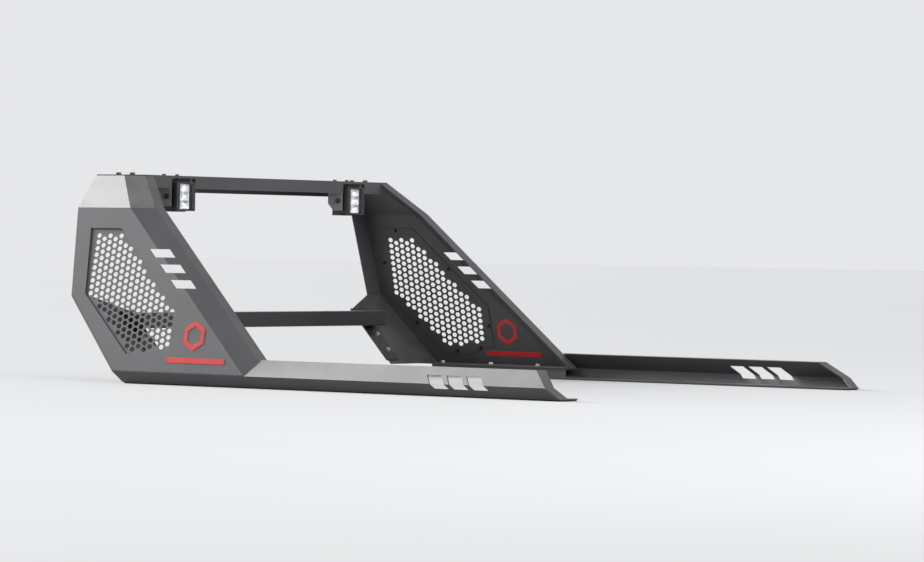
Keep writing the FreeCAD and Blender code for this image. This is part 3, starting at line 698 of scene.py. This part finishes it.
@dataclass
class HexBolt:
    """A flanged hexagon bolt, washers and nut, drawn with its head's seat at the origin."""

    flats: float
    head: float
    nut: float
    radius: float
    washer: float = 1.5 * MM
    washer_share: float = 0.62
    thread_end: float = 2.0 * MM
    chamfer: float = 0.7 * MM
    crown_inset: float = 0.07
    crown_ease: float = 0.35
    rim_ease: float = 0.25 * MM
    shank_ease: float = 0.1 * MM
    disc_sides: int = 40
    thread_sides: int = 24
    thread_turns: int = 2
    thread_core: float = 0.86

    def hexagon(self, low: float, height: float, crown_up: bool) -> bpy.types.Object:
        """Model a head or a nut: a hexagon with a turned, slightly raised crown.

        Args:
            low: The height of its lower face.
            height: How tall it is.
            crown_up: Whether the crown is on top.

        Returns:
            The head or nut.
        """
        bpy.ops.object.select_all(action="DESELECT")
        bpy.ops.mesh.primitive_cylinder_add(vertices=6, radius=self.flats / math.sqrt(3),
                                            depth=height, location=(0, 0, low + height / 2))
        piece = bpy.context.object
        settle(piece)
        activate(piece)
        way = Vector((0, 0, 1 if crown_up else -1))
        bpy.ops.object.mode_set(mode="EDIT")
        select_faces(piece, way)
        bpy.ops.transform.translate(value=-way * self.chamfer)
        bpy.ops.mesh.inset(thickness=self.flats * self.crown_inset, depth=self.chamfer)
        bpy.ops.object.mode_set(mode="OBJECT")
        ease_edges(piece, self.chamfer * self.crown_ease, 2)
        return piece

    def disc(self, radius: float, low: float, height: float, ease: float) -> bpy.types.Object:
        """Model a washer or a shank as a turned disc with eased rims.

        Args:
            radius: Its radius.
            low: The height of its lower face.
            height: How tall it is.
            ease: The width of its rims' bevel.

        Returns:
            The disc.
        """
        bpy.ops.object.select_all(action="DESELECT")
        bpy.ops.mesh.primitive_cylinder_add(vertices=self.disc_sides, radius=radius, depth=height,
                                            location=(0, 0, low + height / 2))
        piece = bpy.context.object
        settle(piece)
        ease_edges(piece, ease, 2)
        return piece

    def threaded_end(self, low: float) -> bpy.types.Object:
        """Model the thread that stands past the nut as grooved rings.

        Args:
            low: The height at which the thread leaves the nut.

        Returns:
            The thread's end.
        """
        bpy.ops.object.select_all(action="DESELECT")
        turn = self.thread_end / (2 * self.thread_turns)
        bpy.ops.mesh.primitive_cylinder_add(vertices=self.thread_sides, radius=self.radius,
                                            depth=turn, location=(0, 0, low - turn / 2))
        piece = bpy.context.object
        settle(piece)
        activate(piece)
        bpy.ops.object.mode_set(mode="EDIT")
        for step in range(2 * self.thread_turns - 1):
            select_faces(piece, Vector((0, 0, -1)))
            share = self.thread_core if step % 2 == 0 else 1 / self.thread_core
            bpy.ops.mesh.extrude_region_move(TRANSFORM_OT_translate={"value": (0, 0, -turn)})
            bpy.ops.transform.resize(value=(share, share, 1), center_override=(0, 0, low))
        bpy.ops.object.mode_set(mode="OBJECT")
        activate(piece)
        bpy.ops.object.shade_smooth_by_angle(angle=SMOOTH_ANGLE)
        return piece

    def model(self, grip: float) -> bpy.types.Object:
        """Model one whole bolt set, with its shank along -Z.

        Args:
            grip: The thickness that the bolt holds together.

        Returns:
            The bolt, its washers and its nut as one object.
        """
        washer_radius = self.flats * self.washer_share
        under = -grip - self.washer
        parts = [
            self.disc(washer_radius, 0.0, self.washer, self.rim_ease),
            self.hexagon(self.washer, self.head, True),
            self.disc(self.radius, -grip, grip, self.shank_ease),
            self.disc(washer_radius, under, self.washer, self.rim_ease),
            self.hexagon(under - self.nut, self.nut, False),
            self.threaded_end(under - self.nut),
        ]
        return joined(parts, "bolt_pattern")


@dataclass
class BoltSet:
    """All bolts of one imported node, each placed where its solid lies."""

    node: str
    bolt: HexBolt
    grip: float
    axis: Vector
    finish: Finish

    def build(self, paints: Paintbox) -> bpy.types.Object:
        """Model one bolt, copy it to every place and stand for the node.

        Args:
            paints: The finishes.

        Returns:
            All the bolts as one piece.
        """
        pattern = self.bolt.model(self.grip)
        turn = Vector((0, 0, 1)).rotation_difference(self.axis).to_matrix().to_4x4()
        copies = []
        for group in islands(self.node):
            centre = sum(group, Vector()) / len(group)
            top = max(point.dot(self.axis) for point in group)
            seat = top - self.bolt.head - self.bolt.washer
            place = centre + self.axis * (seat - centre.dot(self.axis))
            copy = pattern.copy()
            copy.data = pattern.data.copy()
            bpy.context.scene.collection.objects.link(copy)
            copy.data.transform(Matrix.Translation(place) @ turn)
            copies.append(copy)
        bpy.data.objects.remove(pattern)
        piece = joined(copies, f"{self.node}_detailed")
        paints.coat(piece, self.finish)
        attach(piece, "rack")
        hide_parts(self.node)
        return piece


# ---- lamps -------------------------------------------------------------------------------------

@dataclass
class Lamp:
    """One lamp pod's optics: six square cups, each with a domed emitter."""

    side: str
    columns: int = 2
    rows: int = 3
    wall: float = 1.3 * MM
    dome: float = 3.6 * MM
    optic_width: float = 52.0 * MM
    optic_height: float = 70.0 * MM
    cup_taper: float = 3.2
    cup_depth: float = 0.82
    lip: float = 0.3 * MM
    lip_ease: float = 0.8 * MM
    dome_sides: int = 20
    dome_rings: int = 12

    def cups(self, paints: Paintbox) -> bpy.types.Object:
        """Model the cups from a grid whose cells are inset and sunk.

        Args:
            paints: The finishes.

        Returns:
            The cups as one piece.
        """
        low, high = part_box(f"{self.side}_lamp_reflector")
        size = high - low
        bpy.ops.object.select_all(action="DESELECT")
        bpy.ops.mesh.primitive_grid_add(x_subdivisions=self.columns, y_subdivisions=self.rows,
                                        size=1.0)
        piece = bpy.context.object
        piece.name = f"{self.side}_lamp_cups"
        piece.data.transform(Matrix.Diagonal((self.optic_width, self.optic_height, 1.0, 1.0)))
        activate(piece)
        bpy.ops.object.mode_set(mode="EDIT")
        bpy.ops.mesh.select_mode(type="FACE")
        bpy.ops.mesh.select_all(action="SELECT")
        bpy.ops.mesh.inset(thickness=self.wall, use_individual=True)
        bpy.ops.mesh.inset(thickness=self.wall * self.cup_taper, depth=-size.y * self.cup_depth,
                           use_individual=True)
        bpy.ops.object.mode_set(mode="OBJECT")
        centre = (low + high) / 2
        turn = Matrix.Rotation(QUARTER_TURN, 4, "X")
        piece.data.transform(Matrix.Translation((centre.x, low.y + self.lip, centre.z)) @ turn)
        apply_modifier(piece, "BEVEL", width=self.lip_ease, segments=2, limit_method="ANGLE",
                       angle_limit=EDGE_ANGLE)
        activate(piece)
        bpy.ops.object.shade_smooth_by_angle(angle=SMOOTH_ANGLE)
        paints.coat(piece, Finish.MIRROR)
        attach(piece, f"{self.side}_lamp")
        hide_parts(f"{self.side}_lamp_reflector")
        return piece

    def emitters(self, paints: Paintbox) -> bpy.types.Object:
        """Model one dome by halving a ball, and set one at the bottom of every cup.

        Args:
            paints: The finishes.

        Returns:
            The domes as one piece.
        """
        low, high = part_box(f"{self.side}_lamp_reflector")
        centre = (low + high) / 2
        depth = high.y - low.y
        bpy.ops.object.select_all(action="DESELECT")
        bpy.ops.mesh.primitive_uv_sphere_add(segments=self.dome_sides,
                                             ring_count=self.dome_rings, radius=self.dome)
        pattern = bpy.context.object
        bpy.ops.object.mode_set(mode="EDIT")
        bpy.ops.mesh.select_all(action="SELECT")
        bpy.ops.mesh.bisect(plane_co=(0, 0, 0), plane_no=(0, 0, 1), use_fill=True,
                            clear_inner=True)
        bpy.ops.object.mode_set(mode="OBJECT")
        pattern.data.transform(Matrix.Rotation(QUARTER_TURN, 4, "X"))
        copies = []
        for column in range(self.columns):
            for row in range(self.rows):
                across = (column - (self.columns - 1) / 2) * self.optic_width / self.columns
                up = (row - (self.rows - 1) / 2) * self.optic_height / self.rows
                copy = pattern.copy()
                copy.data = pattern.data.copy()
                bpy.context.scene.collection.objects.link(copy)
                place = (centre.x + across, low.y + depth * self.cup_depth, centre.z + up)
                copy.data.transform(Matrix.Translation(place))
                copies.append(copy)
        bpy.data.objects.remove(pattern)
        piece = joined(copies, f"{self.side}_lamp_emitters")
        activate(piece)
        bpy.ops.object.shade_smooth_by_angle(angle=SMOOTH_ANGLE)
        paints.coat(piece, Finish.EMITTER)
        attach(piece, f"{self.side}_lamp")
        return piece


# ---- the rack ----------------------------------------------------------------------------------

@dataclass
class Rack:
    """The whole headache rack."""

    paints: Paintbox
    fold_edge: float = 0.9 * MM
    tube_edge: float = 3.0 * MM
    mesh_edge: float = 0.25 * MM
    emblem_edge: float = 0.2 * MM
    casting_edge: float = 0.5 * MM
    bezel_edge: float = 0.8 * MM
    sheet_grip: float = 6.0 * MM
    leg_grip: float = 7.0 * MM

    def sheet_metal(self) -> list[EasedPart]:
        """Every eased part with its finish and edge.

        Returns:
            The parts, in the order in which they are made.
        """
        fold = (self.fold_edge, 3, FOLD_ANGLE)
        parts = [EasedPart("top_crossbar", Finish.POWDER, "rack", *fold),
                 EasedPart("lower_crossbar", Finish.SATIN_BLACK, "rack", self.tube_edge, 4)]
        for side in SIDES:
            parts += [
                EasedPart(f"{side}_side_panel", Finish.POWDER, "rack", *fold),
                EasedPart(f"{side}_bed_rail", Finish.POWDER, "rack", *fold),
                EasedPart(f"{side}_support_channel", Finish.POWDER, "rack"),
                EasedPart(f"{side}_crossbar_leg", Finish.SATIN_BLACK, "rack"),
                EasedPart(f"{side}_mesh_insert", Finish.MESH, "rack", self.mesh_edge, 1),
                EasedPart(f"{side}_outer_emblem", Finish.ENAMEL, "rack", self.emblem_edge),
                EasedPart(f"{side}_inner_emblem", Finish.ENAMEL, "rack", self.emblem_edge),
                # the brackets take the lighter copy of the powder coat, a painted highlight
                EasedPart(f"{side}_lamp_bracket", Finish.BRACKET, "rack", self.casting_edge),
                EasedPart(f"{side}_lamp_housing", Finish.ALLOY, f"{side}_lamp", self.casting_edge),
                EasedPart(f"{side}_lamp_bezel", Finish.PLASTIC, f"{side}_lamp", self.bezel_edge, 3),
            ]
        return parts

    def bolt_sets(self) -> list[BoltSet]:
        """Every set of bolts.

        Returns:
            The sets, in the order in which they are made.
        """
        m8 = HexBolt(flats=13.0 * MM, head=5.3 * MM, nut=6.8 * MM, radius=4.0 * MM)
        m6 = HexBolt(flats=10.0 * MM, head=4.0 * MM, nut=5.2 * MM, radius=3.0 * MM)
        up = Vector((0, 0, 1))
        sets = [BoltSet("crossbar_bolts", m8, self.sheet_grip, up, Finish.BLACK_OXIDE),
                BoltSet("lamp_bracket_bolts", m6, self.sheet_grip, up, Finish.BLACK_OXIDE)]
        for side in SIDES:
            slant = broadest_normal(f"{side}_crossbar_leg")
            sets.append(BoltSet(f"{side}_panel_bolts", m8, self.sheet_grip, up, Finish.ZINC))
            sets.append(BoltSet(f"{side}_leg_bolts", m8, self.leg_grip, slant, Finish.ZINC))
        return sets

    def plain_nodes(self) -> dict[str, Finish]:
        """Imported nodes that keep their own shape.

        Returns:
            Each node's finish.
        """
        kept = {}
        for side in SIDES:
            kept[f"{side}_mesh_fasteners"] = Finish.BLACK_OXIDE
            kept[f"{side}_channel_rivets"] = Finish.ZINC
            kept[f"{side}_rail_gasket"] = Finish.GASKET
            kept[f"{side}_lamp_seal"] = Finish.GASKET
            kept[f"{side}_lamp_lens"] = Finish.LENS
            kept[f"{side}_lamp_led_board"] = Finish.EMITTER
            kept[f"{side}_lamp_bezel_screws"] = Finish.ZINC
            kept[f"{side}_lamp_pivot_bolts"] = Finish.BLACK_OXIDE
            kept[f"{side}_lamp_cable_gland"] = Finish.PLASTIC
        return kept

    def build(self) -> None:
        """Make every piece and report it."""
        for node, finish in self.plain_nodes().items():
            self.paints.coat_node(node, finish)
            LOG.info("coated %s", node)
        made = [part.build(self.paints) for part in self.sheet_metal()]
        made += [bolts.build(self.paints) for bolts in self.bolt_sets()]
        for side in SIDES:
            lamp = Lamp(side)
            made += [lamp.cups(self.paints), lamp.emitters(self.paints)]
        for piece in made:
            LOG.info("built %s with %d faces", piece.name, len(piece.data.polygons))


# ---- studio ------------------------------------------------------------------------------------

@dataclass
class Studio:
    """Pale floor, soft lights and the camera."""

    eye: Vector
    aim: Vector
    lens: float = 157.0
    roll: float = math.radians(0.81)
    sensor: float = 36.0
    sight: float = 200.0
    floor_half: float = 60.0
    floor_dark: Colour = (0.262, 0.264, 0.267)
    floor_light: Colour = (0.274, 0.276, 0.279)
    key_from: Triple = (-0.06, 0.88, 0.47)
    key_strength: float = 10.0
    key_spread: float = math.radians(28)
    rear_from: Triple = (-1.6, -5.4, 2.6)
    rear_size: float = 2.2
    rear_power: float = 190.0
    surroundings: float = 0.88
    surroundings_colour: Colour = (0.9, 0.91, 0.93)

    def floor(self) -> None:
        """Lay the plain floor."""
        bpy.ops.object.select_all(action="DESELECT")
        bpy.ops.mesh.primitive_plane_add(size=2 * self.floor_half)
        ground = bpy.context.object
        ground.name = "studio_floor"
        r = Recipe("studio_floor_paint")
        cloud = r.noise(0.8, 3.0)
        paint = r.surface({"Base Color": r.blend(cloud, self.floor_dark, self.floor_light),
                           "Roughness": 0.9})
        ground.data.materials.append(paint)
        ground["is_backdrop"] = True

    def softbox(self, name: str, place: Triple, size: float, power: float) -> None:
        """Hang one square soft light that looks at the rack.

        Args:
            name: The light's name.
            place: Where it hangs.
            size: The length of its side.
            power: Its power in watts.
        """
        light = bpy.data.lights.new(name, "AREA")
        light.size = size
        light.energy = power
        lamp = bpy.data.objects.new(name, light)
        bpy.context.scene.collection.objects.link(lamp)
        lamp.location = place
        lamp.rotation_euler = (self.aim - Vector(place)).to_track_quat("-Z", "Y").to_euler()

    def lights(self) -> None:
        """Place the lights and the pale surroundings."""
        key = bpy.data.lights.new("key_light", "SUN")
        key.energy = self.key_strength
        key.angle = self.key_spread
        lamp = bpy.data.objects.new("key_light", key)
        bpy.context.scene.collection.objects.link(lamp)
        lamp.rotation_euler = (-Vector(self.key_from)).to_track_quat("-Z", "Y").to_euler()
        self.softbox("rear_softbox", self.rear_from, self.rear_size, self.rear_power)
        world = bpy.data.worlds.new("pale_surroundings")
        world.use_nodes = True
        backdrop = world.node_tree.nodes["Background"]
        backdrop.inputs["Color"].default_value = (*self.surroundings_colour, 1.0)
        backdrop.inputs["Strength"].default_value = self.surroundings
        bpy.context.scene.world = world
        bpy.context.scene.view_settings.view_transform = "Standard"

    def camera(self) -> None:
        """Stand the camera and level it with its slight roll."""
        ahead = (self.aim - self.eye).normalized()
        right = ahead.cross(Vector((0, 0, 1))).normalized()
        above = right.cross(ahead)
        tilted_right = right * math.cos(self.roll) + above * math.sin(self.roll)
        tilted_up = above * math.cos(self.roll) - right * math.sin(self.roll)
        turn = Matrix((tilted_right, tilted_up, -ahead)).transposed().to_4x4()
        data = bpy.data.cameras.new("rack_camera")
        data.lens = self.lens
        data.sensor_width = self.sensor
        data.clip_end = self.sight
        camera = bpy.data.objects.new("rack_camera", data)
        bpy.context.scene.collection.objects.link(camera)
        camera.matrix_world = Matrix.Translation(self.eye) @ turn
        bpy.context.scene.camera = camera

    def build(self) -> None:
        """Set up the whole studio."""
        self.floor()
        self.lights()
        self.camera()


def main() -> None:
    """Build the rack and the studio."""
    logging.basicConfig(level=logging.INFO, format="%(name)s: %(message)s")
    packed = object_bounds()
    low, high = (Vector(corner) for corner in packed)
    Rack(Paintbox()).build()
    Studio(Vector(CAMERA_PLACE), (low + high) / 2).build()


if __name__ == "__main__":
    main()
